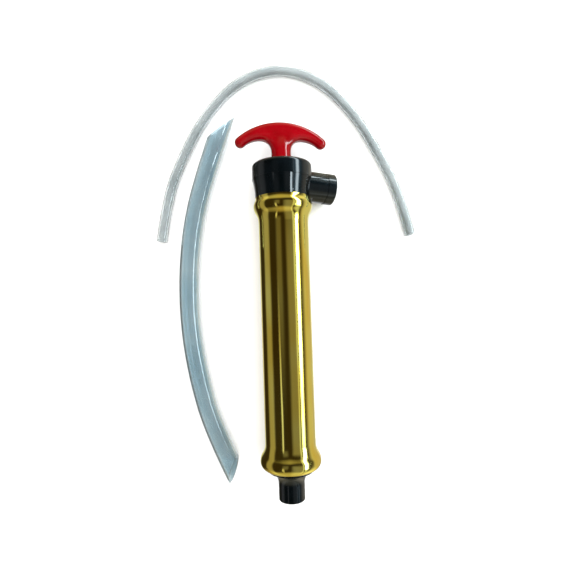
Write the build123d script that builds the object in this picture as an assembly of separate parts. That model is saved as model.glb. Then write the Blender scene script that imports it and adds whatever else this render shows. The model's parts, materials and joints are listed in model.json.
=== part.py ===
from build123d import *
import math
import os

# A hand bilge pump that lies on its side, and two cut lengths of clear hose beside it.
# Millimetres, +Z up, the surface that it lies on at z = 0.
#
# The pump is built upright about its own axis: height 0 is the tip of the inlet nozzle, the
# handle is at the top, and the spout points along local +X. One placement then lays it down
# with the handle towards +Y. The pump lies on its widest ring, its swelling and its spout.

# ---------------------------------------------------------------- placement
SWELL_R = 30.5                  # widest radius of the head and of the lower swelling
AXIS_X = -4.88                  # the pump's axis, so that the pump is centred on x = 0
LENGTH = 379.0                  # nozzle tip to handle top
SPOUT_ROLL = 16.0               # degrees that the spout is rolled down, onto the surface
HANDLE_ROLL = 8.0               # degrees that the handle is rolled, free of the spout

# ---------------------------------------------------------------- barrel (2 inch brass tube)
BARREL_R = 25.4
WALL = 1.2
LIP_R = 23.2                    # opening that the foot passes through
LIP_ROUND = 7.3                 # radius of the rolled-in lower lip
LOWER_CREST = 38.5
LOWER_NECK = 55.5
UPPER_NECK = 276.5
UPPER_CREST = 293.0
UPPER_SWELL_R = 30.0
RIM = 301.1
RIM_R = 28.1

# ---------------------------------------------------------------- foot with the inlet nozzle
NOZZLE_R = 13.1
NOZZLE_BORE_R = 10.0
NOZZLE_BORE_DEPTH = 16.0        # to the shoulder that a tail pushed inside stops at
THROAT_R = 9.4
NOZZLE_ROUND = 0.8
FLARE_START = 16.5
FLARE_R = 13.0
FOOT_NECK_R = 22.9
FOOT_TOP = 42.2
FOOT_GAP = 0.2                  # between the foot and the brass that is rolled over it
FLANGE_INSET = 0.9              # of the flange above its O-ring
SEAT_R = 13.0
SEAT_HEIGHT = 1.8
SEAT_TOP = FOOT_TOP + SEAT_HEIGHT
SPIDER_BOTTOM = 36.0
SPIDER_TOP = SEAT_TOP - 0.4     # clear of the closed disc
SPIDER_ARMS = 3
SPIDER_ARM_WIDTH = 2.6
HUB_R = 4.6

# ---------------------------------------------------------------- rings, washers and screws
O_RING_R = 1.4                  # section radius of both barrel O-rings
GROOVE_ROOM = 0.1               # beside an O-ring in its groove
RING_GAP = 0.05                 # under an O-ring in its groove
FOOT_O_RING_AT = 38.6
FOOT_O_RING_OUTSIDE_R = SWELL_R - WALL - 0.1
HEAD_O_RING_AT = 293.4
HEAD_O_RING_OUTSIDE_R = UPPER_SWELL_R - WALL - 0.05
CHAMFER = 0.6                   # on nuts, rod ends and the screw head
GUIDE_SHANK_R = 2.0
GUIDE_HEAD_R = 4.5
GUIDE_HEAD_HEIGHT = 2.5
SCREW_SLOT_WIDTH = 1.0
SCREW_SLOT_DEPTH = 1.1

# ---------------------------------------------------------------- valves
VALVE_LIFT = 3.0
VALVE_GAP = 0.05                # under a closed disc
FOOT_VALVE_R = 15.5
FOOT_VALVE_THICK = 2.4
FOOT_VALVE_HOLE_R = 2.08
PISTON_VALVE_R = 17.5
PISTON_VALVE_THICK = 1.8

# ---------------------------------------------------------------- plunger
ROD_R = 5.0
THREAD_R = 4.0
RUN_GAP = 0.06                  # radial clearance of what turns or slides on the rod
END_PLAY = 0.1
STOP_GAP = 0.3                  # between sleeve and buffer washer at full lift
ROD_BOTTOM = 53.6
NUT_BOTTOM = 55.0
NUT_HEIGHT = 6.5
NUT_FLATS = 13.0
WASHER_R = 8.5
WASHER_THICK = 1.5
PLATE_R = 19.5
PLATE_THICK = 2.0
CUP_R = 24.14
CUP_BASE_THICK = 2.0
CUP_LIP_THICK = 1.7
CUP_HEIGHT = 11.0
CUP_BASE_HOLE_R = 16.8
PISTON_R = 22.2
PISTON_SPIGOT_R = 16.6
PISTON_HEIGHT = 11.0
PORTS = 6
PORT_R = 3.0
PORT_CIRCLE_R = 12.6
CLIP_GROOVE_R = 4.2
CLIP_R = 8.5
CLIP_THICK = 1.2
CLIP_MOUTH = 4.5                # gap that lets the clip snap on sideways
SLEEVE_R = 8.0
STROKE = 195.0

# ---------------------------------------------------------------- head with the spout
HEAD_TOP = 336.0
HEAD_START = RIM + 0.1          # the head's shoulder just clears the brass rim
HEAD_ROUND = 3.5
PARTING = 320.0                 # height of the step that runs round the spout's side
STEP = 0.5                      # how far the part below the step is set back
RAMP_WIDTH = 2.1                # of the upright edge of the set-back part
HEAD_SKIRT_R = 26.7
HEAD_SKIRT_BOTTOM = 288.5
CHAMBER_R = 24.0
CHAMBER_TOP = 330.0
BOSS_R = 13.0
BOSS_BOTTOM = 314.0
BOSS_LIP = 317.0
SPOUT_AT = 317.0
SPOUT_FALL = 5.2                # degrees that the spout falls towards the foot, so it drains
SPOUT_REACH = 54.6
SPOUT_R = 16.0                  # of the land
SPOUT_BODY_R = 15.8             # of the spout behind its land, above the step
SPOUT_BORE_R = 11.0             # at the root, above the brass rim
SPOUT_MOUTH_R = 12.4
SPOUT_MOUTH_START = 34.0
SPOUT_ROUND = 1.0
SPOUT_LAND = 9.0                # plain round end that a hose seals on

# ---------------------------------------------------------------- gland in the head
GLAND_R = 8.5
GLAND_BOTTOM = 321.6
GLAND_FLANGE_R = 9.8
GLAND_FLANGE_THICK = 2.5
WIPER_R = 7.6
WIPER_THICK = 2.2
SEAL_THICK = 3.4
SEAL_GROOVE_DEPTH = 1.7
SEAL_GROOVE_R = ROD_R + 1.5     # of the groove's floor, nearest the rod
BOSS_HOLE_R = ROD_R + 0.6
BACKING_THICK = 1.0
BUFFER_R = 11.0
BUFFER_THICK = 3.0

# ---------------------------------------------------------------- handle
HANDLE_BOTTOM = 336.3
STEM_R = 10.2
OUTER_ARC_R = 70.0              # back of the grip
TIP_R = 5.6
TIP_ANGLE = 40.1                # degrees from the axis to the arm's tip, about the arc's centre
ARCH_TOP = 360.9
ARCH_CORNER_R = 10.3            # between the stem and the arm
GRIP_HALF_DEPTH = 7.6           # of the grip in front of and behind the axis
HANDLE_ROUND = 5.2
SHOULDER_TOP = 364.0            # where the round stem has run into the flatter grip
SHOULDER_R = 7.1                # of the stem there
POCKET_R = 8.0
LOCK_NUT_HEIGHT = 5.0
INSERT_R = 7.5
INSERT_LENGTH = 17.0
WAIST_WIDTH = 3.0               # groove that keys the insert in the moulding
WAIST_DEPTH = 0.8
ROD_THREAD_START = 338.0
ROD_TOP = 359.5
LOCK_NUT_BOTTOM = ROD_THREAD_START + 0.2
INSERT_BOTTOM = LOCK_NUT_BOTTOM + LOCK_NUT_HEIGHT + 0.2

# ---------------------------------------------------------------- hoses, both ends bare
THICK_HOSE_R = 10.3
THICK_HOSE_BORE_R = 7.95
THICK_ROUTE = [
    (-64, 209), (-83, 156), (-100, 99), (-107, 44), (-107, -14), (-99, -70), (-84, -126), (-60, -177),
]
TOP_CUT_AT = (-79.2, 188.3)     # a point on each slanted cut, and the cut's direction in degrees
TOP_CUT_ALONG = 35.6
BOTTOM_CUT_AT = (-61.6, -154.0)
BOTTOM_CUT_ALONG = -106.6
CUT_LEAN = 16.0                 # degrees that both cut faces look upwards
THIN_HOSE_R = 5.55
THIN_HOSE_BORE_R = 3.95
THIN_ROUTE = [
    (-136, 75), (-129, 123), (-109, 171), (-86, 211), (-51, 248), (-4, 262),
    (41, 246), (76, 208), (99, 167), (121, 120), (131, 74),
]


# ================================================================ helpers
PAST = 40.0                     # how far a cutting shape runs past what it cuts


def turned(outline, sweep=360.0):
    """Solid of revolution about the axis, from a closed outline in (radius, height)."""
    return revolve(Plane.XZ * make_face(outline), Axis.Z, sweep)


def turned_points(*points):
    """Solid of revolution from the corners of its half section."""
    return turned(Polyline(*points, close=True))


def ring(inner_r, outer_r, bottom, top):
    """Plain ring or, with no inner radius, a plain disc."""
    return turned_points((inner_r, bottom), (outer_r, bottom), (outer_r, top), (inner_r, top))


def hexagon_nut(bottom, height, hole_r):
    """Hexagonal nut with both faces' corners turned off."""
    corner_r = NUT_FLATS / math.sqrt(3)
    face_r = corner_r - 1.5 * CHAMFER
    top = bottom + height
    blank = Pos(0, 0, bottom) * extrude(RegularPolygon(corner_r, 6), height)
    turned_blank = turned_points(
        (hole_r, bottom), (face_r, bottom), (corner_r, bottom + CHAMFER), (corner_r, top - CHAMFER),
        (face_r, top), (hole_r, top),
    )
    return blank & turned_blank


def s_curve(start, end, share=0.5):
    """Two arcs that leave start and reach end both parallel to the axis."""
    middle = (start[0] + share * (end[0] - start[0]), start[1] + share * (end[1] - start[1]))
    first = TangentArc(start, middle, tangent=(0, math.copysign(1, end[1] - start[1])))
    second = TangentArc(middle, end, tangent=first % 1)
    return first + second


def laid_down(roll):
    """Placement that lays the upright pump down, handle to +Y, local +X rolled down by roll."""
    across = (math.cos(math.radians(roll)), 0, -math.sin(math.radians(roll)))
    return Plane(origin=(AXIS_X, -LENGTH / 2, SWELL_R), x_dir=across, z_dir=(0, 1, 0)).location


# ================================================================ casing
def barrel():
    """Brass tube, rolled in at the bottom and swollen at both ends."""

    def surface(inset):
        crest = (SWELL_R - inset, LOWER_CREST)
        lip = TangentArc((LIP_R, LOWER_CREST - LIP_ROUND + inset), crest, tangent=(1, 0))
        lower = s_curve(crest, (BARREL_R - inset, LOWER_NECK), 0.42)
        straight = Line((BARREL_R - inset, LOWER_NECK), (BARREL_R - inset, UPPER_NECK))
        swell = s_curve((BARREL_R - inset, UPPER_NECK), (UPPER_SWELL_R - inset, UPPER_CREST), 0.55)
        rim = s_curve((UPPER_SWELL_R - inset, UPPER_CREST), (RIM_R - inset, RIM), 0.45)
        return lip + lower + straight + swell + rim

    outside = surface(0)
    inside = surface(WALL)
    ends = Line(outside @ 0, inside @ 0) + Line(outside @ 1, inside @ 1)
    return turned(outside + inside + ends)


def foot():
    """Inlet nozzle, flared into a flange that the brass is rolled over, with the valve seat."""
    neck_height = FLARE_START + math.sqrt(FLARE_R**2 - (NOZZLE_R + FLARE_R - FOOT_NECK_R) ** 2)
    flange_r = LIP_ROUND - WALL - FOOT_GAP
    flange_bottom = LOWER_CREST - flange_r
    groove_r = FOOT_O_RING_OUTSIDE_R - 2 * O_RING_R - RING_GAP
    groove_low = FOOT_O_RING_AT - O_RING_R - GROOVE_ROOM
    groove_high = FOOT_O_RING_AT + O_RING_R + GROOVE_ROOM
    flange_side = LIP_R + math.sqrt(flange_r**2 - (LOWER_CREST - groove_low) ** 2)
    rounding = TangentArc((NOZZLE_R - NOZZLE_ROUND, 0), (NOZZLE_R, NOZZLE_ROUND), tangent=(1, 0))
    shank = Line((NOZZLE_R, NOZZLE_ROUND), (NOZZLE_R, FLARE_START))
    flare = TangentArc((NOZZLE_R, FLARE_START), (FOOT_NECK_R, neck_height), tangent=(0, 1))
    neck = Polyline((FOOT_NECK_R, neck_height), (FOOT_NECK_R, flange_bottom), (LIP_R, flange_bottom))
    flange = TangentArc((LIP_R, flange_bottom), (flange_side, groove_low), tangent=(1, 0))
    top = Polyline(
        (flange_side, groove_low), (groove_r, groove_low), (groove_r, groove_high),
        (flange_side - FLANGE_INSET, groove_high), (flange_side - FLANGE_INSET, FOOT_TOP), (SEAT_R, FOOT_TOP),
        (SEAT_R, SEAT_TOP), (THROAT_R, SEAT_TOP), (THROAT_R, NOZZLE_BORE_DEPTH),
        (NOZZLE_BORE_R, NOZZLE_BORE_DEPTH), (NOZZLE_BORE_R, 0), (NOZZLE_R - NOZZLE_ROUND, 0),
    )
    body = turned(rounding + shank + flare + neck + flange + top)
    arm_length = THROAT_R + 0.5
    arm_height = SPIDER_TOP - SPIDER_BOTTOM
    arm_middle = SPIDER_BOTTOM + arm_height / 2
    arm = Pos(arm_length / 2, 0, arm_middle) * Box(arm_length, SPIDER_ARM_WIDTH, arm_height)
    spider = ring(0, HUB_R, SPIDER_BOTTOM, SPIDER_TOP)
    for turn in range(SPIDER_ARMS):
        spider += Rot(0, 0, turn * 360 / SPIDER_ARMS) * arm
    screw_hole = ring(0, GUIDE_SHANK_R, SPIDER_BOTTOM - PAST, SPIDER_TOP + PAST)
    return body + spider - screw_hole


def head_lower_part(step, start, sweep):
    """Wedge of the head between rim and parting, set back by step, from start over sweep degrees."""
    line = TangentArc((RIM_R - step, HEAD_START), (SWELL_R - 0.2 - step, PARTING), tangent=(0, 1))
    outline = line + Polyline(line @ 1, (CHAMBER_R, PARTING), (CHAMBER_R, HEAD_START), line @ 0)
    return Rot(0, 0, start) * turned(outline, sweep)


def ramped(wedge):
    """The wedge with its two upright outer edges sloped down to the set-back surface."""
    middle = (HEAD_START + PARTING) / 2
    upright = [
        edge for edge in wedge.edges()
        if abs(edge.center().Z - middle) < 2 and math.hypot(edge.center().X, edge.center().Y) > RIM_R
    ]
    flat_faces = wedge.faces().filter_by(GeomType.PLANE)
    sides = [face for face in flat_faces if abs(face.normal_at().Z) < 0.1]
    for edge in upright:
        side = min(sides, key=lambda face: face.distance_to(edge.center()))
        wedge = chamfer(edge, STEP, RAMP_WIDTH, reference=side)
    return wedge


def spout_shape(radius, start, reach, rounding=0.0):
    """Cylinder along the spout, from start to reach, both measured from the pump's axis."""
    length = reach - start
    shape = Pos(0, 0, start + length / 2) * Cylinder(radius, length)
    if rounding:
        shape = fillet(shape.edges().group_by(Axis.Z)[-1], rounding)
    return Pos(0, 0, SPOUT_AT) * Rot(0, 90 + SPOUT_FALL, 0) * shape


def head():
    """Closed head with the gland boss and the side spout, one moulding."""
    groove_r = HEAD_O_RING_OUTSIDE_R - 2 * O_RING_R - RING_GAP
    skirt = turned_points(
        (CHAMBER_R, HEAD_SKIRT_BOTTOM), (HEAD_SKIRT_R, HEAD_SKIRT_BOTTOM),
        (HEAD_SKIRT_R, HEAD_O_RING_AT - O_RING_R - GROOVE_ROOM),
        (groove_r, HEAD_O_RING_AT - O_RING_R - GROOVE_ROOM),
        (groove_r, HEAD_O_RING_AT + O_RING_R + GROOVE_ROOM),
        (HEAD_SKIRT_R, HEAD_O_RING_AT + O_RING_R + GROOVE_ROOM),
        (HEAD_SKIRT_R, HEAD_START), (CHAMBER_R, HEAD_START),
    )
    ramp_angle = math.degrees(RAMP_WIDTH / SWELL_R)
    far_part = ramped(head_lower_part(0, 90 - ramp_angle, 180 + 2 * ramp_angle))
    spout_part = head_lower_part(STEP, -90, 180)
    crown_side = Line((SWELL_R, PARTING), (SWELL_R, HEAD_TOP - HEAD_ROUND))
    crown_round = TangentArc(crown_side @ 1, (SWELL_R - HEAD_ROUND, HEAD_TOP), tangent=(0, 1))
    crown_inside = Polyline(
        crown_round @ 1, (GLAND_FLANGE_R, HEAD_TOP), (GLAND_FLANGE_R, HEAD_TOP - GLAND_FLANGE_THICK),
        (GLAND_R, HEAD_TOP - GLAND_FLANGE_THICK), (GLAND_R, BOSS_LIP), (BOSS_HOLE_R, BOSS_LIP),
        (BOSS_HOLE_R, BOSS_BOTTOM), (BOSS_R, BOSS_BOTTOM), (BOSS_R, CHAMBER_TOP),
        (CHAMBER_R, CHAMBER_TOP), (CHAMBER_R, PARTING), (SWELL_R, PARTING),
    )
    crown = turned(crown_side + crown_round + crown_inside)
    above = Pos(0, 0, PARTING + 100) * Box(400, 400, 200)
    land_start = SPOUT_REACH - SPOUT_LAND
    spout_upper = spout_shape(SPOUT_BODY_R, BOSS_R, land_start) & above
    spout_lower = spout_shape(SPOUT_BODY_R - STEP, BOSS_R, land_start)
    stub = spout_upper + spout_lower + spout_shape(SPOUT_R, land_start, SPOUT_REACH, SPOUT_ROUND)
    stub -= ring(0, CHAMBER_R + 1, RIM - PAST, HEAD_TOP + PAST)
    barrel_room = ring(0, SWELL_R, RIM - PAST, HEAD_START)
    bore = spout_shape(SPOUT_BORE_R, BOSS_R + 2, SPOUT_REACH)
    bore += spout_shape(SPOUT_MOUTH_R, SPOUT_MOUTH_START, SPOUT_REACH + PAST)
    bore -= ring(0, BOSS_R + 0.01, RIM - PAST, HEAD_TOP + PAST)
    return skirt + far_part + spout_part + crown + (stub - barrel_room) - bore


# ================================================================ gland, seals and rings
def gland_bush():
    """Flanged bush that guides the rod, with a recess for the wiper on top."""
    return turned_points(
        (ROD_R + RUN_GAP, GLAND_BOTTOM), (GLAND_R, GLAND_BOTTOM), (GLAND_R, HEAD_TOP - GLAND_FLANGE_THICK),
        (GLAND_FLANGE_R, HEAD_TOP - GLAND_FLANGE_THICK), (GLAND_FLANGE_R, HEAD_TOP), (WIPER_R, HEAD_TOP),
        (WIPER_R, HEAD_TOP - WIPER_THICK), (ROD_R + RUN_GAP, HEAD_TOP - WIPER_THICK),
    )


def rod_wiper():
    """Lip ring that keeps dirt off the rod, in the top of the gland bush."""
    bottom = HEAD_TOP - WIPER_THICK
    top = HEAD_TOP - 0.2
    lip_r = ROD_R + RUN_GAP
    return turned_points(
        (lip_r + 0.9, bottom), (WIPER_R, bottom), (WIPER_R, top), (lip_r + 1.2, top), (lip_r, top - 0.5),
    )


def rod_seal():
    """U-shaped rod seal, open towards the water."""
    bottom = BOSS_LIP + BACKING_THICK
    top = bottom + SEAL_THICK
    groove_floor = bottom + SEAL_GROOVE_DEPTH
    groove_outer_r = GLAND_R - (SEAL_GROOVE_R - ROD_R)
    return turned_points(
        (ROD_R + RUN_GAP, bottom), (SEAL_GROOVE_R - 0.3, bottom), (SEAL_GROOVE_R, groove_floor),
        (groove_outer_r, groove_floor), (groove_outer_r + 0.3, bottom), (GLAND_R, bottom), (GLAND_R, top),
        (ROD_R + RUN_GAP, top),
    )


def seal_backing_ring():
    """Flat ring under the rod seal."""
    return ring(BOSS_HOLE_R, GLAND_R, BOSS_LIP, BOSS_LIP + BACKING_THICK)


def buffer_washer():
    """Rubber washer under the boss, which the plunger's sleeve meets at full lift."""
    return ring(BOSS_HOLE_R, BUFFER_R, BOSS_BOTTOM - BUFFER_THICK, BOSS_BOTTOM)


def barrel_o_ring(outside_r, height):
    """O-ring whose outside just meets the barrel's inner surface."""
    return Pos(0, 0, height) * Torus(outside_r - O_RING_R, O_RING_R)


# ================================================================ foot valve
FOOT_VALVE_TOP = SEAT_TOP + VALVE_GAP + FOOT_VALVE_THICK
GUIDE_HEAD_BOTTOM = FOOT_VALVE_TOP + VALVE_LIFT + VALVE_GAP


def foot_valve_disc():
    """Rubber disc that lifts off the seat, on the guide screw."""
    return ring(FOOT_VALVE_HOLE_R, FOOT_VALVE_R, SEAT_TOP + VALVE_GAP, FOOT_VALVE_TOP)


def foot_guide_screw():
    """Round-headed screw in the spider's hub, the disc's guide and stop."""
    dome_top = GUIDE_HEAD_BOTTOM + GUIDE_HEAD_HEIGHT
    shank = Polyline(
        (0, SPIDER_BOTTOM), (GUIDE_SHANK_R, SPIDER_BOTTOM), (GUIDE_SHANK_R, GUIDE_HEAD_BOTTOM),
        (GUIDE_HEAD_R, GUIDE_HEAD_BOTTOM), (GUIDE_HEAD_R, GUIDE_HEAD_BOTTOM + CHAMFER),
    )
    dome = TangentArc((0, dome_top), shank @ 1, tangent=(1, 0))
    axis_line = Line((0, dome_top), (0, SPIDER_BOTTOM))
    slot = Pos(0, 0, dome_top) * Box(2 * GUIDE_HEAD_R, SCREW_SLOT_WIDTH, 2 * SCREW_SLOT_DEPTH)
    return turned(shank + dome + axis_line) - slot


# ================================================================ plunger
WASHER_BOTTOM = NUT_BOTTOM + NUT_HEIGHT
PLATE_BOTTOM = WASHER_BOTTOM + WASHER_THICK + END_PLAY
CUP_BOTTOM = PLATE_BOTTOM + PLATE_THICK
PISTON_TOP = CUP_BOTTOM + CUP_BASE_THICK + PISTON_HEIGHT
SHOULDER = PISTON_TOP + END_PLAY
PISTON_VALVE_BOTTOM = PISTON_TOP + VALVE_GAP
CLIP_BOTTOM = PISTON_VALVE_BOTTOM + PISTON_VALVE_THICK + VALVE_LIFT + VALVE_GAP
SLEEVE_BOTTOM = CLIP_BOTTOM + CLIP_THICK + END_PLAY
SLEEVE_TOP = BOSS_BOTTOM - BUFFER_THICK - STROKE - STOP_GAP


def water_ports(bottom, top):
    """Cylinders of the ring of ports through the piston."""
    port = ring(0, PORT_R, bottom, top)
    ports = Pos(PORT_CIRCLE_R, 0, 0) * port
    for turn in range(1, PORTS):
        ports += Rot(0, 0, turn * 360 / PORTS) * Pos(PORT_CIRCLE_R, 0, 0) * port
    return ports


def clamp_plate():
    """Plate that clamps the cup's base against the piston body."""
    plate = ring(THREAD_R + RUN_GAP, PLATE_R, PLATE_BOTTOM, CUP_BOTTOM)
    return plate - water_ports(PLATE_BOTTOM - PAST, CUP_BOTTOM + PAST)


def cup_seal():
    """Cup with its lip upwards against the barrel."""
    lip_r = CUP_R - CUP_LIP_THICK
    return turned_points(
        (CUP_BASE_HOLE_R, CUP_BOTTOM), (CUP_R - 1.0, CUP_BOTTOM), (CUP_R, CUP_BOTTOM + 1.0),
        (CUP_R, CUP_BOTTOM + CUP_HEIGHT), (CUP_R - 0.5, CUP_BOTTOM + CUP_HEIGHT),
        (lip_r, CUP_BOTTOM + CUP_HEIGHT - 1.5), (lip_r, CUP_BOTTOM + CUP_BASE_THICK),
        (CUP_BASE_HOLE_R, CUP_BOTTOM + CUP_BASE_THICK),
    )


def piston_body():
    """Piston with its spigot inside the cup's base, and the ports that its disc closes."""
    body = turned_points(
        (THREAD_R + RUN_GAP, CUP_BOTTOM), (PISTON_SPIGOT_R, CUP_BOTTOM),
        (PISTON_SPIGOT_R, CUP_BOTTOM + CUP_BASE_THICK), (PISTON_R, CUP_BOTTOM + CUP_BASE_THICK),
        (PISTON_R, PISTON_TOP - 1.0), (PISTON_R - 1.0, PISTON_TOP), (THREAD_R + RUN_GAP, PISTON_TOP),
    )
    return body - water_ports(CUP_BOTTOM - PAST, PISTON_TOP + PAST)


def piston_valve_disc():
    """Disc over the ports, which lifts on the push stroke."""
    top = PISTON_VALVE_BOTTOM + PISTON_VALVE_THICK
    return ring(ROD_R + RUN_GAP, PISTON_VALVE_R, PISTON_VALVE_BOTTOM, top)


def piston_rod():
    """Steel rod, turned down for the piston and for the handle, with a groove for the clip."""
    groove_bottom = CLIP_BOTTOM - RING_GAP
    groove_top = CLIP_BOTTOM + CLIP_THICK + RING_GAP
    return turned_points(
        (0, ROD_BOTTOM), (THREAD_R - CHAMFER, ROD_BOTTOM), (THREAD_R, ROD_BOTTOM + CHAMFER),
        (THREAD_R, SHOULDER), (ROD_R, SHOULDER), (ROD_R, groove_bottom), (CLIP_GROOVE_R, groove_bottom),
        (CLIP_GROOVE_R, groove_top), (ROD_R, groove_top), (ROD_R, ROD_THREAD_START),
        (THREAD_R, ROD_THREAD_START), (THREAD_R, ROD_TOP - CHAMFER), (THREAD_R - CHAMFER, ROD_TOP),
        (0, ROD_TOP),
    )


def valve_stop_clip():
    """Snap ring in the rod's groove, open on one side."""
    clip = ring(CLIP_GROOVE_R, CLIP_R, CLIP_BOTTOM, CLIP_BOTTOM + CLIP_THICK)
    mouth = Pos(CLIP_R / 2, 0, CLIP_BOTTOM) * Box(CLIP_R + 2, CLIP_MOUTH, PAST)
    return clip - mouth


# ================================================================ handle
def handle_outline():
    """Front outline of the T-handle, in (across, height)."""
    arc_centre = LENGTH - OUTER_ARC_R
    tilt = math.radians(TIP_ANGLE)
    reach = OUTER_ARC_R - TIP_R
    tip = Vector(reach * math.sin(tilt), arc_centre + reach * math.cos(tilt))
    arch = Vector(STEM_R + ARCH_CORNER_R, ARCH_TOP)
    rise = tip.Y - arch.Y
    run = tip.X - arch.X
    arch_r = (run**2 + rise**2 - TIP_R**2) / (2 * (TIP_R - rise))
    inner = tip + (Vector(arch.X, arch.Y - arch_r) - tip).normalized() * TIP_R
    outer = Vector(OUTER_ARC_R * math.sin(tilt), arc_centre + OUTER_ARC_R * math.cos(tilt))
    stem = Line((STEM_R, HANDLE_BOTTOM), (STEM_R, ARCH_TOP - ARCH_CORNER_R))
    corner = TangentArc(stem @ 1, arch, tangent=(0, 1))
    arm = TangentArc(arch, inner, tangent=(1, 0))
    end = TangentArc(inner, outer, tangent=arm % 1)
    back = TangentArc(outer, (0, LENGTH), tangent=end % 1)
    side = stem + corner + arm + end + back
    return side + mirror(side, Plane.YZ) + Line((-STEM_R, HANDLE_BOTTOM), (STEM_R, HANDLE_BOTTOM))


def handle():
    """T-handle with round edges, bored for the rod, the lock nut and the threaded insert."""
    front = extrude(Plane.XZ * make_face(handle_outline()), 2 * STEM_R, both=True)
    half_span = (OUTER_ARC_R - TIP_R) * math.sin(math.radians(TIP_ANGLE)) + TIP_R
    thinning = GRIP_HALF_DEPTH - TIP_R
    face_r = (half_span**2 + thinning**2) / (2 * thinning)
    face_centre = GRIP_HALF_DEPTH - face_r
    plan = Pos(0, face_centre, 0) * Circle(face_r) & Pos(0, -face_centre, 0) * Circle(face_r)
    grip_bottom = ARCH_TOP - ARCH_CORNER_R
    grip = front & Pos(0, 0, grip_bottom) * extrude(plan, LENGTH)
    outline_edges = [edge for edge in grip.edges() if edge.center().Z > grip_bottom + 0.01]
    grip = fillet(outline_edges, HANDLE_ROUND)
    stem_side = Line((STEM_R, HANDLE_BOTTOM), (STEM_R, grip_bottom))
    shoulder = TangentArc(stem_side @ 1, (SHOULDER_R, SHOULDER_TOP), tangent=(0, 1))
    inside = Polyline(shoulder @ 1, (0, SHOULDER_TOP), (0, HANDLE_BOTTOM), stem_side @ 0)
    shape = grip + turned(stem_side + shoulder + inside)
    shape -= ring(0, POCKET_R, HANDLE_BOTTOM - PAST, INSERT_BOTTOM)
    return shape - ring(0, INSERT_R, HANDLE_BOTTOM, INSERT_BOTTOM + INSERT_LENGTH)


def handle_insert():
    """Brass insert that the rod screws into."""
    body = ring(THREAD_R, INSERT_R, INSERT_BOTTOM, INSERT_BOTTOM + INSERT_LENGTH)
    waist_bottom = INSERT_BOTTOM + (INSERT_LENGTH - WAIST_WIDTH) / 2
    waist = ring(INSERT_R - WAIST_DEPTH, INSERT_R + PAST, waist_bottom, waist_bottom + WAIST_WIDTH)
    return body - waist


# ================================================================ hoses
def arc_radii(route, label):
    """Largest tangent arc at each corner that both of its runs have room for."""
    radii = []
    for before, corner, after in zip(route, route[1:], route[2:]):
        arriving = Vector(*corner) - Vector(*before)
        leaving = Vector(*after) - Vector(*corner)
        half_turn = math.radians(arriving.get_angle(leaving)) / 2
        radii.append(0.45 * min(arriving.length, leaving.length) / math.tan(half_turn))
    print(label, "arc radii", [round(radius) for radius in radii])
    return radii


def hose(route, outer_r, bore_r, label):
    """Tube that lies on the surface along its route."""
    points = [(x, y, outer_r) for x, y in route]
    path = FilletPolyline(*points, radius=arc_radii(points, label))
    start = Plane(origin=path @ 0, z_dir=path % 0)
    section = start * (Circle(outer_r) - Circle(bore_r))
    tube = sweep(section, path=path)
    area = math.pi * (outer_r**2 - bore_r**2)
    ratio = tube.volume / (area * path.length)
    print(label, "length", round(path.length, 1), "volume over section times length", round(ratio, 4))
    return tube


def slanted_cut(point, direction):
    """Block that takes off the end of the thick hose, on the left of its leaning face."""
    block = Rot(CUT_LEAN, 0, 0) * Pos(0, 50, 0) * Box(200, 100, 100)
    return Pos(*point, THICK_HOSE_R) * Rot(0, 0, direction) * block


def thick_hose():
    """Wide clear hose with both ends cut at a slant."""
    tube = hose(THICK_ROUTE, THICK_HOSE_R, THICK_HOSE_BORE_R, "thick hose")
    tube -= slanted_cut(TOP_CUT_AT, TOP_CUT_ALONG)
    return tube - slanted_cut(BOTTOM_CUT_AT, BOTTOM_CUT_ALONG)


# ================================================================ assembly
casing = laid_down(SPOUT_ROLL)
turned_plunger = laid_down(HANDLE_ROLL)

pump_nodes = {
    "barrel": casing * barrel(),
    "foot": casing * foot(),
    "foot_o_ring": casing * barrel_o_ring(FOOT_O_RING_OUTSIDE_R, FOOT_O_RING_AT),
    "foot_guide_screw": casing * foot_guide_screw(),
    "foot_valve_disc": casing * foot_valve_disc(),
    "head": casing * head(),
    "head_o_ring": casing * barrel_o_ring(HEAD_O_RING_OUTSIDE_R, HEAD_O_RING_AT),
    "gland_bush": casing * gland_bush(),
    "rod_wiper": casing * rod_wiper(),
    "rod_seal": casing * rod_seal(),
    "seal_backing_ring": casing * seal_backing_ring(),
    "buffer_washer": casing * buffer_washer(),
    "clamp_plate": casing * clamp_plate(),
    "cup_seal": casing * cup_seal(),
    "piston_body": casing * piston_body(),
    "piston_valve_disc": casing * piston_valve_disc(),
    "piston_rod": turned_plunger * piston_rod(),
    "piston_nut": turned_plunger * hexagon_nut(NUT_BOTTOM, NUT_HEIGHT, THREAD_R),
    "piston_washer": turned_plunger * ring(THREAD_R, WASHER_R, WASHER_BOTTOM, WASHER_BOTTOM + WASHER_THICK),
    "valve_stop_clip": turned_plunger * valve_stop_clip(),
    "stop_sleeve": turned_plunger * ring(ROD_R, SLEEVE_R, SLEEVE_BOTTOM, SLEEVE_TOP),
    "handle": turned_plunger * handle(),
    "handle_insert": turned_plunger * handle_insert(),
    "handle_lock_nut": turned_plunger * hexagon_nut(LOCK_NUT_BOTTOM, LOCK_NUT_HEIGHT, THREAD_R),
}
hose_nodes = {
    "thick_hose": thick_hose(),
    "thin_hose": hose(THIN_ROUTE, THIN_HOSE_R, THIN_HOSE_BORE_R, "thin hose"),
}

os.makedirs("parts", exist_ok=True)
for name, shape in {**pump_nodes, **hose_nodes}.items():
    export_step(shape, f"parts/{name}.step")

box = Compound(children=list(pump_nodes.values())).bounding_box()
print("pump x", round(box.min.X, 2), round(box.max.X, 2), "y", round(box.min.Y, 2), round(box.max.Y, 2))
print("pump z", round(box.min.Z, 2), round(box.max.Z, 2))
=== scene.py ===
import json
import math

import bmesh
import bpy
from mathutils import Matrix, Vector


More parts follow.
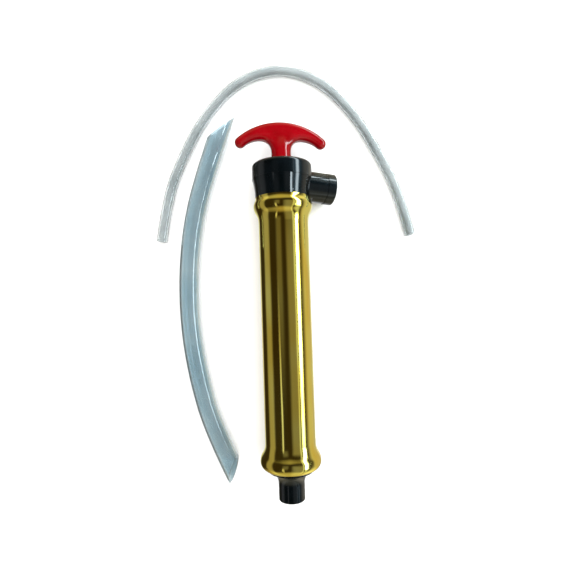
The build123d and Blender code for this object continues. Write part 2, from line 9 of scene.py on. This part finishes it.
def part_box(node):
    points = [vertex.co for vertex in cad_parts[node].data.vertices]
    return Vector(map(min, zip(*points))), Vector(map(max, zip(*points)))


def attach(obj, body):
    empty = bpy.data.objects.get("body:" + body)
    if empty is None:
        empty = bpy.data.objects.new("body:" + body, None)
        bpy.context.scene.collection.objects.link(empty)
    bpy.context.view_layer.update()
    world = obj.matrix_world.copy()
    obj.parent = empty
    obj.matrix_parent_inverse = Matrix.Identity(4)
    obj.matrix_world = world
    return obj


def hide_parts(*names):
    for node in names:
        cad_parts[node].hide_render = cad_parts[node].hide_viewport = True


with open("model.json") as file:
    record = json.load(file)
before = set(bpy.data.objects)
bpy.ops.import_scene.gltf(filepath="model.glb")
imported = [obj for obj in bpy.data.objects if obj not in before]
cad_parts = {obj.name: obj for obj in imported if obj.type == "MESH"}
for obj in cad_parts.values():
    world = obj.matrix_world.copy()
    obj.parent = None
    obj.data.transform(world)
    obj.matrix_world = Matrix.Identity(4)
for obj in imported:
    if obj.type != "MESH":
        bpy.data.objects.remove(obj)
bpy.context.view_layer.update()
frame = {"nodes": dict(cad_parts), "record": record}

# The pump lies on its side with its handle towards +Y and its spout towards +X. Metres throughout.

# ---------------------------------------------------------------- places, from the CAD
BARREL_LOW, BARREL_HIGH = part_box("barrel")
HANDLE_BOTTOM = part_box("handle")[0][1]      # where its stem ends
AXIS_X = (BARREL_LOW[0] + BARREL_HIGH[0]) / 2
AXIS_Z = (BARREL_LOW[2] + BARREL_HIGH[2]) / 2
FLOOR_Z = 0.0
SWELLING_LENGTH = 0.026         # at each end of the barrel

# ---------------------------------------------------------------- camera
CAMERA_RISE = 0.430             # above the pump's axis
CAMERA_AIM_Y = 0.0235           # where the middle of the picture meets the pump
CAMERA_SIDE = -0.0004           # from the pump's axis, towards the spout's side
CAMERA_PITCH = 2.0              # degrees from straight down, looking towards the handle
CAMERA_ROLL = 1.85              # degrees
CAMERA_LENS = 26.81             # mm
CAMERA_SENSOR = 36.0            # mm

# ---------------------------------------------------------------- materials
NOISE_LOW = 0.3                 # most of a noise lies between these two
NOISE_HIGH = 0.7
COLOUR_LOW = 0.35               # a varied colour changes over between these two
COLOUR_HIGH = 0.65

# ---------------------------------------------------------------- hoses
THICK_D = 0.0206
THICK_BORE_D = 0.0159
THICK_ROUTE = [
    (-0.064, 0.209), (-0.083, 0.156), (-0.100, 0.099), (-0.107, 0.044),
    (-0.107, -0.014), (-0.099, -0.070), (-0.084, -0.126), (-0.060, -0.177),
]
TOP_CUT = ((-0.0792, 0.1883), 35.6)         # a point on each slanted cut, and its direction
BOTTOM_CUT = ((-0.0616, -0.1540), -106.6)
CUT_LEAN = 16.0                 # degrees that both cut faces look upwards
THIN_D = 0.0111
THIN_BORE_D = 0.0079
THIN_ROUTE = [
    (-0.136, 0.075), (-0.129, 0.123), (-0.109, 0.171), (-0.086, 0.211), (-0.051, 0.248), (-0.004, 0.262),
    (0.041, 0.246), (0.076, 0.208), (0.099, 0.167), (0.121, 0.120), (0.131, 0.074),
]
HOSE_STEPS = 20                 # points that the spline is read at, for each of its spans
HOSE_SIDES = 56

# ---------------------------------------------------------------- handle
HANDLE_VOXEL = 0.0005
HANDLE_SMOOTHING = 12
NECK_SMOOTHING = 260            # extra, where the round stem runs into the flat grip
NECK_HALF_WIDTH = 0.016
NECK_BOTTOM = 0.009             # from the stem's end
NECK_TOP = 0.031
NECK_SIDE_SHARE = 1 / 3         # of the half width, over which the extra smoothing fades out
NECK_BOTTOM_FADE = 0.004
NECK_TOP_FADE = 0.006

# ---------------------------------------------------------------- studio
# Long soft lights that run beside the pump, each at its angle from straight up, towards the spout's
# side (+) or the other (-), with its half width and the width of its soft edge, all in degrees. A
# light's reach is how far it runs along the pump, from the foot's end (-) to the handle's (+), as
# the sines of the slopes that it is seen at.
WARM = (1.0, 0.92, 0.76)
COOL = (0.86, 0.96, 1.0)
WHITE = (1.0, 1.0, 1.0)
STUDIO = {
    "left_wall": {"angle": -87, "half_width": 9, "edge": 14, "brightness": 0.34, "colour": WHITE},
    "left_tube": {
        "angle": -33, "half_width": 1, "edge": 4, "brightness": 0.75, "colour": WHITE,
        "reach": (-0.36, -0.26),
    },
    "doorway": {
        "angle": -24, "half_width": 4, "edge": 14, "brightness": 0.13, "colour": WHITE,
        "reach": (0.05, 0.12),
    },
    "ceiling": {
        "angle": 28, "half_width": 10, "edge": 16, "brightness": 0.22, "colour": WHITE,
        "reach": (-0.80, 0.04),
    },
    "window_frame": {"angle": 46, "half_width": 1, "edge": 5, "brightness": 0.70, "colour": COOL},
    "window": {
        "angle": 62, "half_width": 2, "edge": 8, "brightness": 13.0, "colour": COOL,
        "reach": (-0.08, 0.80),
    },
    "window_sill": {
        "angle": 66, "half_width": 1, "edge": 9, "brightness": 0.7, "colour": COOL,
        "reach": (-0.60, -0.25),
    },
    "right_wall": {"angle": 115, "half_width": 15, "edge": 26, "brightness": 0.62, "colour": WARM},
}
DIM_ROOM = (0.036, 0.026, 0.012)            # between the lights
WHOLE_REACH = (-0.80, 0.80)
REACH_EDGE = 0.35               # over which a light fades out past its reach
END_WALLS = (0.50, 0.45, 0.30)  # beyond the handle and beyond the foot
END_WALLS_START = (0.45, 0.85)  # sines of the slopes between which they come up
FLOOR_GLOW = (0.85, 0.87, 0.88)             # from below, where glossy surfaces don't show the floor
FLOOR_GLOW_START = (-0.70, -0.90)           # cosines from straight up, between which it comes up
FLOOR_HALF_SIZE = 3.0
FLOOR_WHITE = 0.88
FLOOR_GAP = 0.0002              # keeps the floor just under what lies on it
OVERHEAD_SIZE = 3.0
OVERHEAD_HEIGHT = 1.6
OVERHEAD_PLACE = (0.15, 0.45)   # towards the spout's side, and past the handle
OVERHEAD_POWER = 85.0           # watts
BACKDROP_RADIUS = 5.0
BACKDROP_WHITE = 0.92


# ================================================================ helpers
def new_object(name, mesh):
    """Object for a mesh, in the scene."""
    item = bpy.data.objects.new(name, mesh)
    bpy.context.scene.collection.objects.link(item)
    return item


def mesh_object(name, builder):
    """Object with the geometry of a bmesh, which is freed."""
    mesh = bpy.data.meshes.new(name)
    builder.to_mesh(mesh)
    builder.free()
    return new_object(name, mesh)


def apply_modifiers(item):
    """Bakes the item's modifiers into its mesh."""
    graph = bpy.context.evaluated_depsgraph_get()
    result = bpy.data.meshes.new_from_object(item.evaluated_get(graph), depsgraph=graph)
    item.modifiers.clear()
    item.data = result


# ================================================================ camera
def make_camera():
    """Camera almost straight above the pump."""
    pitch = math.radians(CAMERA_PITCH)
    forward = Vector((0, math.sin(pitch), -math.cos(pitch)))
    level_up = Vector((0, math.cos(pitch), math.sin(pitch)))
    up = Matrix.Rotation(math.radians(CAMERA_ROLL), 3, forward) @ level_up
    right = forward.cross(up)
    place = Vector((AXIS_X + CAMERA_SIDE, CAMERA_AIM_Y, AXIS_Z)) - forward * CAMERA_RISE / math.cos(pitch)
    data = bpy.data.cameras.new("camera")
    data.lens = CAMERA_LENS
    data.sensor_width = CAMERA_SENSOR
    camera = bpy.data.objects.new("camera", data)
    facing = Matrix((right, up, -forward)).transposed().to_4x4()
    camera.matrix_world = Matrix.Translation(place) @ facing
    bpy.context.scene.collection.objects.link(camera)
    bpy.context.scene.camera = camera


# ================================================================ materials
class Finish:
    """A material with one Principled shader, whose plain inputs are given, and nodes that vary others."""

    def __init__(self, name, **inputs):
        self.material = bpy.data.materials.new(name)
        self.material.use_nodes = True
        self.nodes = self.material.node_tree.nodes
        self.links = self.material.node_tree.links
        self.shader = self.nodes["Principled BSDF"]
        for keyword, value in inputs.items():
            socket = keyword.replace("_", " ").title().replace("Ior", "IOR")
            self.shader.inputs[socket].default_value = value

    def noise(self, stretch, detail=3.0):
        """Noise in the object's own space, with its grain per metre along each axis."""
        place = self.nodes.new("ShaderNodeTexCoord")
        scale = self.nodes.new("ShaderNodeMapping")
        scale.inputs["Scale"].default_value = stretch
        noise = self.nodes.new("ShaderNodeTexNoise")
        noise.inputs["Scale"].default_value = 1.0
        noise.inputs["Detail"].default_value = detail
        self.links.new(place.outputs["Object"], scale.inputs["Vector"])
        self.links.new(scale.outputs["Vector"], noise.inputs["Vector"])
        return noise.outputs["Fac"]

    def near_barrel_ends(self):
        """0 along the plain tube, and 1 on its two swellings."""
        place = self.nodes.new("ShaderNodeTexCoord")
        parts = self.nodes.new("ShaderNodeSeparateXYZ")
        self.links.new(place.outputs["Object"], parts.inputs["Vector"])
        from_middle = self.nodes.new("ShaderNodeMath")
        from_middle.operation = "SUBTRACT"
        from_middle.inputs[1].default_value = (BARREL_LOW[1] + BARREL_HIGH[1]) / 2
        self.links.new(parts.outputs["Y"], from_middle.inputs[0])
        distance = self.nodes.new("ShaderNodeMath")
        distance.operation = "ABSOLUTE"
        self.links.new(from_middle.outputs["Value"], distance.inputs[0])
        half_length = (BARREL_HIGH[1] - BARREL_LOW[1]) / 2
        share = self.nodes.new("ShaderNodeMapRange")
        share.inputs["From Min"].default_value = half_length - SWELLING_LENGTH
        share.inputs["From Max"].default_value = half_length - SWELLING_LENGTH / 2
        self.links.new(distance.outputs["Value"], share.inputs["Value"])
        return share.outputs["Result"]

    def scaled(self, factor, share):
        """The factor times a share."""
        product = self.nodes.new("ShaderNodeMath")
        product.operation = "MULTIPLY"
        self.links.new(factor, product.inputs[0])
        self.links.new(share, product.inputs[1])
        return product.outputs["Value"]

    def between(self, noise, low, high):
        """The noise, spread from low to high."""
        spread = self.nodes.new("ShaderNodeMapRange")
        spread.inputs["From Min"].default_value = NOISE_LOW
        spread.inputs["From Max"].default_value = NOISE_HIGH
        spread.inputs["To Min"].default_value = low
        spread.inputs["To Max"].default_value = high
        self.links.new(noise, spread.inputs["Value"])
        return spread.outputs["Result"]

    def vary_roughness(self, noise, low, high):
        """Roughness that follows the noise."""
        self.links.new(self.between(noise, low, high), self.shader.inputs["Roughness"])

    def vary_colour(self, noise, first, second):
        """Base colour that follows the noise."""
        ramp = self.nodes.new("ShaderNodeValToRGB")
        ramp.color_ramp.elements[0].position = COLOUR_LOW
        ramp.color_ramp.elements[0].color = (*first, 1.0)
        ramp.color_ramp.elements[1].position = COLOUR_HIGH
        ramp.color_ramp.elements[1].color = (*second, 1.0)
        self.links.new(noise, ramp.inputs["Fac"])
        self.links.new(ramp.outputs["Color"], self.shader.inputs["Base Color"])

    def bump(self, *layers):
        """Bump from several (factor, height in metres) layers."""
        previous = None
        for factor, height in layers:
            bump = self.nodes.new("ShaderNodeBump")
            bump.inputs["Distance"].default_value = height
            self.links.new(factor, bump.inputs["Height"])
            if previous:
                self.links.new(previous, bump.inputs["Normal"])
            previous = bump.outputs["Normal"]
        self.links.new(previous, self.shader.inputs["Normal"])


def polished_brass():
    """Drawn tube, polished by hand: fine marks and slow waves along it, ripples where it was spun."""
    brass = Finish("polished_brass", metallic=1.0)
    draw_marks = brass.noise((700, 9, 700))
    waves = brass.noise((60, 14, 60), detail=1.0)
    spinning = brass.scaled(brass.noise((85, 70, 85), detail=0.0), brass.near_barrel_ends())
    brass.vary_colour(waves, (0.88, 0.80, 0.20), (0.84, 0.64, 0.10))
    brass.vary_roughness(draw_marks, 0.05, 0.14)
    brass.bump((waves, 0.00018), (spinning, 0.0011), (draw_marks, 0.000004))
    return brass.material


def turned_brass():
    """Fine turned brass of the inner parts."""
    brass = Finish("turned_brass", base_color=(0.80, 0.64, 0.26, 1.0), metallic=1.0)
    rings = brass.noise((200, 2500, 200))
    brass.vary_roughness(rings, 0.18, 0.34)
    brass.bump((rings, 0.000004))
    return brass.material


def black_plastic():
    """Glossy moulded plastic with a faint bloom and a painted blue sheen: its reflections are tinted
    blue, standing in for bluish light.
    """
    # The blue specular tint is painted light: it turns every reflection of the plastic blue, as a bluish
    # light would.
    plastic = Finish(
        "black_plastic", specular_ior_level=0.15, specular_tint=(0.40, 0.78, 1.0, 1.0),
        coat_weight=0.8, coat_roughness=0.05,
    )
    skin = plastic.noise((900, 900, 900))
    bloom = plastic.noise((45, 45, 45))
    plastic.vary_colour(bloom, (0.0003, 0.001, 0.0015), (0.001, 0.002, 0.003))
    plastic.vary_roughness(bloom, 0.24, 0.34)
    plastic.bump((bloom, 0.00008), (skin, 0.000003))
    return plastic.material


def red_plastic():
    """Glossy deep red moulded plastic."""
    plastic = Finish("red_plastic", roughness=0.10)
    flow = plastic.noise((50, 50, 50))
    skin = plastic.noise((1100, 1100, 1100))
    plastic.vary_colour(flow, (0.17, 0.0, 0.0015), (0.23, 0.0, 0.003))
    plastic.bump((flow, 0.00010), (skin, 0.000003))
    return plastic.material


def white_plastic():
    """Machined white acetal."""
    plastic = Finish("white_plastic", base_color=(0.78, 0.78, 0.74, 1.0))
    marks = plastic.noise((300, 3000, 300))
    plastic.vary_roughness(marks, 0.38, 0.52)
    plastic.bump((marks, 0.000006))
    return plastic.material


def black_rubber():
    """Matt nitrile rubber."""
    rubber = Finish("black_rubber", base_color=(0.02, 0.02, 0.021, 1.0))
    grain = rubber.noise((2500, 2500, 2500))
    rubber.vary_roughness(grain, 0.6, 0.8)
    rubber.bump((grain, 0.00001))
    return rubber.material


def stainless_steel():
    """Fine ground steel, with its grain round the rod."""
    steel = Finish("stainless_steel", base_color=(0.60, 0.60, 0.60, 1.0), metallic=1.0)
    grain = steel.noise((300, 4000, 300))
    steel.vary_roughness(grain, 0.15, 0.30)
    steel.bump((grain, 0.000004))
    return steel.material


def clear_hose(name="clear_hose", thin_haze=(0.45, 0.60, 0.67), thick_haze=(0.57, 0.69, 0.74)):
    """Soft clear PVC, slightly milky."""
    hose = Finish(name, roughness=0.10, transmission_weight=0.85, ior=1.45)
    haze = hose.noise((30, 30, 30))
    skin = hose.noise((400, 400, 400))
    hose.vary_colour(haze, thin_haze, thick_haze)
    hose.bump((haze, 0.0001), (skin, 0.000003))
    return hose.material


def colourless_hose():
    """The same PVC with less of the blue tint, for the thin hose."""
    return clear_hose("colourless_hose", (0.55, 0.60, 0.61), (0.68, 0.72, 0.73))


def finish_cad_nodes():
    """Gives each CAD node the material that the record names for it; returns them all by name."""
    makers = [
        polished_brass, turned_brass, black_plastic, red_plastic,
        white_plastic, black_rubber, stainless_steel, clear_hose,
    ]
    finishes = {maker.__name__: maker() for maker in makers}
    for part in frame["record"]["subparts"]:
        mesh = frame["nodes"][part["node"]].data
        mesh.materials.clear()
        mesh.materials.append(finishes[part["material_slot"]])
    return finishes


# ================================================================ hoses
def hose_line(name, route, height):
    """Points along the NURBS spline of a route that lies at one height."""
    data = bpy.data.curves.new(name + "_line", "CURVE")
    data.dimensions = "3D"
    data.resolution_u = HOSE_STEPS
    spline = data.splines.new("NURBS")
    spline.points.add(len(route) - 1)
    for point, (x, y) in zip(spline.points, route):
        point.co = (x, y, height, 1.0)
    spline.order_u = 3
    spline.use_endpoint_u = True
    holder = bpy.data.objects.new(name + "_line", data)
    bare = bpy.data.meshes.new_from_object(holder)
    line = [vertex.co.copy() for vertex in bare.vertices]
    bpy.data.objects.remove(holder)
    bpy.data.meshes.remove(bare)
    return line


def cut_plane(cut, height):
    """A point on a slanted cut, and the direction of what it takes off."""
    (x, y), direction = cut
    turn = math.radians(direction)
    lean = math.radians(CUT_LEAN)
    away = Vector((-math.sin(turn) * math.cos(lean), math.cos(turn) * math.cos(lean), math.sin(lean)))
    return Vector((x, y, height)), away


def ended_on(places, point, away):
    """Places along a tube, with those past a plane moved to where their line meets it."""
    past = [(place - point).dot(away) for place in places]
    kept = [index for index, distance in enumerate(past) if distance <= 0]

    def meeting(inner, outer):
        """Where the plane is met between two neighbouring places."""
        return places[inner].lerp(places[outer], past[inner] / (past[inner] - past[outer]))

    first = kept[0]
    last = kept[-1]
    start = [meeting(first, first - 1)] * first if first else []
    end = [meeting(last, last + 1)] * (len(places) - 1 - last) if last + 1 < len(places) else []
    return start + places[first:last + 1] + end


def tube_wall(builder, line, radius, cuts):
    """One wall of a tube along a level line, cut off at its ends; returns its two end rings.

    A row's points past a cut all lie at one place, so they share a vertex, and the faces between them
    are left out.
    """
    up = Vector((0, 0, 1))
    sides = []                      # the level direction across the tube at each point
    for index in range(len(line)):
        along = line[min(index + 1, len(line) - 1)] - line[max(index - 1, 0)]
        sides.append(along.normalized().cross(up))
    strings = []                    # rows of vertices that run the length of the tube
    for step in range(HOSE_SIDES):
        turn = 2 * math.pi * step / HOSE_SIDES
        places = [
            point + (side * math.cos(turn) + up * math.sin(turn)) * radius
            for point, side in zip(line, sides)
        ]
        for cut in cuts:
            places = ended_on(places, *cut_plane(cut, line[0].z))
        string = {tuple(place): None for place in places}
        for place in string:
            string[place] = builder.verts.new(place)
        strings.append([string[tuple(place)] for place in places])
    for near, far in zip(strings, strings[1:] + strings[:1]):
        for index in range(len(line) - 1):
            corners = list(dict.fromkeys((near[index], near[index + 1], far[index + 1], far[index])))
            if len(corners) > 2:
                builder.faces.new(corners)
    return [string[0] for string in strings], [string[-1] for string in strings]


def close_mouth(builder, outer, inner):
    """Flat face of the tube's end, with sharp edges."""
    for step in range(HOSE_SIDES):
        following = (step + 1) % HOSE_SIDES
        face = builder.faces.new((outer[step], outer[following], inner[following], inner[step]))
        for edge in face.edges:
            edge.smooth = False


def make_hose(node, route, outer_d, bore_d, cuts, material):
    """Clear hose with a real bore, lying on the floor along its route."""
    line = hose_line(node, route, FLOOR_Z + outer_d / 2)
    builder = bmesh.new()
    outer_ends = tube_wall(builder, line, outer_d / 2, cuts)
    inner_ends = tube_wall(builder, line, bore_d / 2, cuts)
    for outer, inner in zip(outer_ends, inner_ends):
        close_mouth(builder, outer, inner)
    bmesh.ops.recalc_face_normals(builder, faces=builder.faces)
    hose = mesh_object(node + "_clear", builder)
    hose.data.shade_smooth()
    hose.data.materials.append(material)
    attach(hose, "casing")
    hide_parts(node)
    return hose


# ================================================================ handle
def make_handle(material):
    """Handle with its stem blended into the grip, from the CAD solid."""
    handle = new_object("handle_moulding", frame["nodes"]["handle"].data.copy())
    remesh = handle.modifiers.new("remesh", "REMESH")
    remesh.mode = "VOXEL"
    remesh.voxel_size = HANDLE_VOXEL
    apply_modifiers(handle)
    neck = handle.vertex_groups.new(name="neck")
    for vertex in handle.data.vertices:
        height = vertex.co.y - HANDLE_BOTTOM
        sideways = (1 - abs(vertex.co.x - AXIS_X) / NECK_HALF_WIDTH) / NECK_SIDE_SHARE
        above = (height - NECK_BOTTOM) / NECK_BOTTOM_FADE
        below = (NECK_TOP - height) / NECK_TOP_FADE
        weight = min(1.0, sideways, above, below)
        if weight > 0:
            neck.add([vertex.index], weight, "REPLACE")
    everywhere = handle.modifiers.new("everywhere", "SMOOTH")
    everywhere.iterations = HANDLE_SMOOTHING
    around_neck = handle.modifiers.new("around_neck", "SMOOTH")
    around_neck.iterations = NECK_SMOOTHING
    around_neck.vertex_group = neck.name
    apply_modifiers(handle)
    handle.data.shade_smooth()
    handle.data.materials.clear()
    handle.data.materials.append(material)
    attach(handle, "plunger_rod")
    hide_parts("handle")


# ================================================================ studio
def soft_step(nodes, links, value, full, none):
    """1 up to full, 0 from none on, and smooth between."""
    spread = nodes.new("ShaderNodeMapRange")
    spread.interpolation_type = "SMOOTHSTEP"
    spread.inputs["From Min"].default_value = full
    spread.inputs["From Max"].default_value = none
    spread.inputs["To Min"].default_value = 1.0
    spread.inputs["To Max"].default_value = 0.0
    links.new(value, spread.inputs["Value"])
    return spread.outputs["Result"]


def calculate(nodes, links, operation, first, second=None):
    """Result of one Math node."""
    math_node = nodes.new("ShaderNodeMath")
    math_node.operation = operation
    links.new(first, math_node.inputs[0])
    if isinstance(second, (int, float)):
        math_node.inputs[1].default_value = second
    elif second is not None:
        links.new(second, math_node.inputs[1])
    return math_node.outputs["Value"]


def add_glow(nodes, links, total, share, colour):
    """The total so far, or the dim room if there is none yet, with a share of a colour added."""
    glow = nodes.new("ShaderNodeVectorMath")
    glow.operation = "SCALE"
    glow.inputs[0].default_value = colour
    links.new(share, glow.inputs["Scale"])
    added = nodes.new("ShaderNodeVectorMath")
    added.operation = "ADD"
    added.inputs[1].default_value = DIM_ROOM
    links.new(glow.outputs["Vector"], added.inputs[0])
    if total:
        links.new(total, added.inputs[1])
    return added.outputs["Vector"]


def make_room():
    """Dim world that holds the end walls, the floor's glow and the long soft lights beside the pump."""
    world = bpy.data.worlds.new("room")
    world.use_nodes = True
    bpy.context.scene.world = world
    nodes = world.node_tree.nodes
    links = world.node_tree.links
    direction = nodes.new("ShaderNodeTexCoord")
    parts = nodes.new("ShaderNodeSeparateXYZ")
    links.new(direction.outputs["Generated"], parts.inputs["Vector"])
    angle = calculate(nodes, links, "ARCTAN2", parts.outputs["X"], parts.outputs["Z"])
    steep = calculate(nodes, links, "ABSOLUTE", parts.outputs["Y"])
    endways = soft_step(nodes, links, steep, *reversed(END_WALLS_START))
    total = add_glow(nodes, links, None, endways, END_WALLS)
    downwards = soft_step(nodes, links, parts.outputs["Z"], *reversed(FLOOR_GLOW_START))
    total = add_glow(nodes, links, total, downwards, FLOOR_GLOW)
    for light in STUDIO.values():
        away = calculate(nodes, links, "SUBTRACT", angle, math.radians(light["angle"]))
        away = calculate(nodes, links, "ABSOLUTE", away)
        full = math.radians(light["half_width"])
        none = math.radians(light["half_width"] + light["edge"])
        across = soft_step(nodes, links, away, full, none)
        start, end = light.get("reach", WHOLE_REACH)
        past_middle = calculate(nodes, links, "SUBTRACT", parts.outputs["Y"], (start + end) / 2)
        past_middle = calculate(nodes, links, "ABSOLUTE", past_middle)
        half_reach = (end - start) / 2
        along = soft_step(nodes, links, past_middle, half_reach, half_reach + REACH_EDGE)
        share = calculate(nodes, links, "MULTIPLY", across, along)
        glow = [channel * light["brightness"] for channel in light["colour"]]
        total = add_glow(nodes, links, total, share, glow)
    links.new(total, nodes["Background"].inputs["Color"])


def make_floor():
    """Pale floor under one broad light, neither of which glossy surfaces show."""
    builder = bmesh.new()
    bmesh.ops.create_grid(builder, x_segments=1, y_segments=1, size=FLOOR_HALF_SIZE)
    floor = mesh_object("floor", builder)
    floor.location.z = FLOOR_Z - FLOOR_GAP
    white = (FLOOR_WHITE, FLOOR_WHITE, FLOOR_WHITE, 1.0)
    paper = Finish("floor_paper", base_color=white, roughness=0.9, specular_ior_level=0.0)
    floor.data.materials.append(paper.material)
    floor.visible_glossy = False
    data = bpy.data.lights.new("overhead", "AREA")
    data.shape = "SQUARE"
    data.size = OVERHEAD_SIZE
    data.energy = OVERHEAD_POWER
    light = bpy.data.objects.new("overhead", data)
    light.location = (*OVERHEAD_PLACE, OVERHEAD_HEIGHT)
    light.visible_glossy = False
    bpy.context.scene.collection.objects.link(light)


def make_backdrop():
    """Plain pale surroundings, which only the camera sees, so that they light nothing."""
    builder = bmesh.new()
    bmesh.ops.create_icosphere(builder, subdivisions=4, radius=BACKDROP_RADIUS)
    backdrop = mesh_object("backdrop", builder)
    backdrop.data.shade_smooth()
    white = (BACKDROP_WHITE, BACKDROP_WHITE, BACKDROP_WHITE, 1.0)
    paper = Finish(
        "backdrop_paper", base_color=(0.0, 0.0, 0.0, 1.0), roughness=1.0, specular_ior_level=0.0,
        emission_color=white, emission_strength=1.0,
    )
    backdrop.data.materials.append(paper.material)
    backdrop.visible_diffuse = False
    backdrop.visible_glossy = False
    backdrop.visible_transmission = False
    backdrop.visible_shadow = False


make_camera()
finishes = finish_cad_nodes()
thick_cuts = [TOP_CUT, BOTTOM_CUT]
thick_hose = make_hose(
    "thick_hose", THICK_ROUTE, THICK_D, THICK_BORE_D, thick_cuts, finishes["clear_hose"]
)
thick_hose.visible_glossy = False           # the brass would show it as a green line
make_hose("thin_hose", THIN_ROUTE, THIN_D, THIN_BORE_D, [], colourless_hose())
make_handle(finishes["red_plastic"])
make_room()
make_floor()
make_backdrop()
bpy.context.scene.view_settings.view_transform = "Standard"
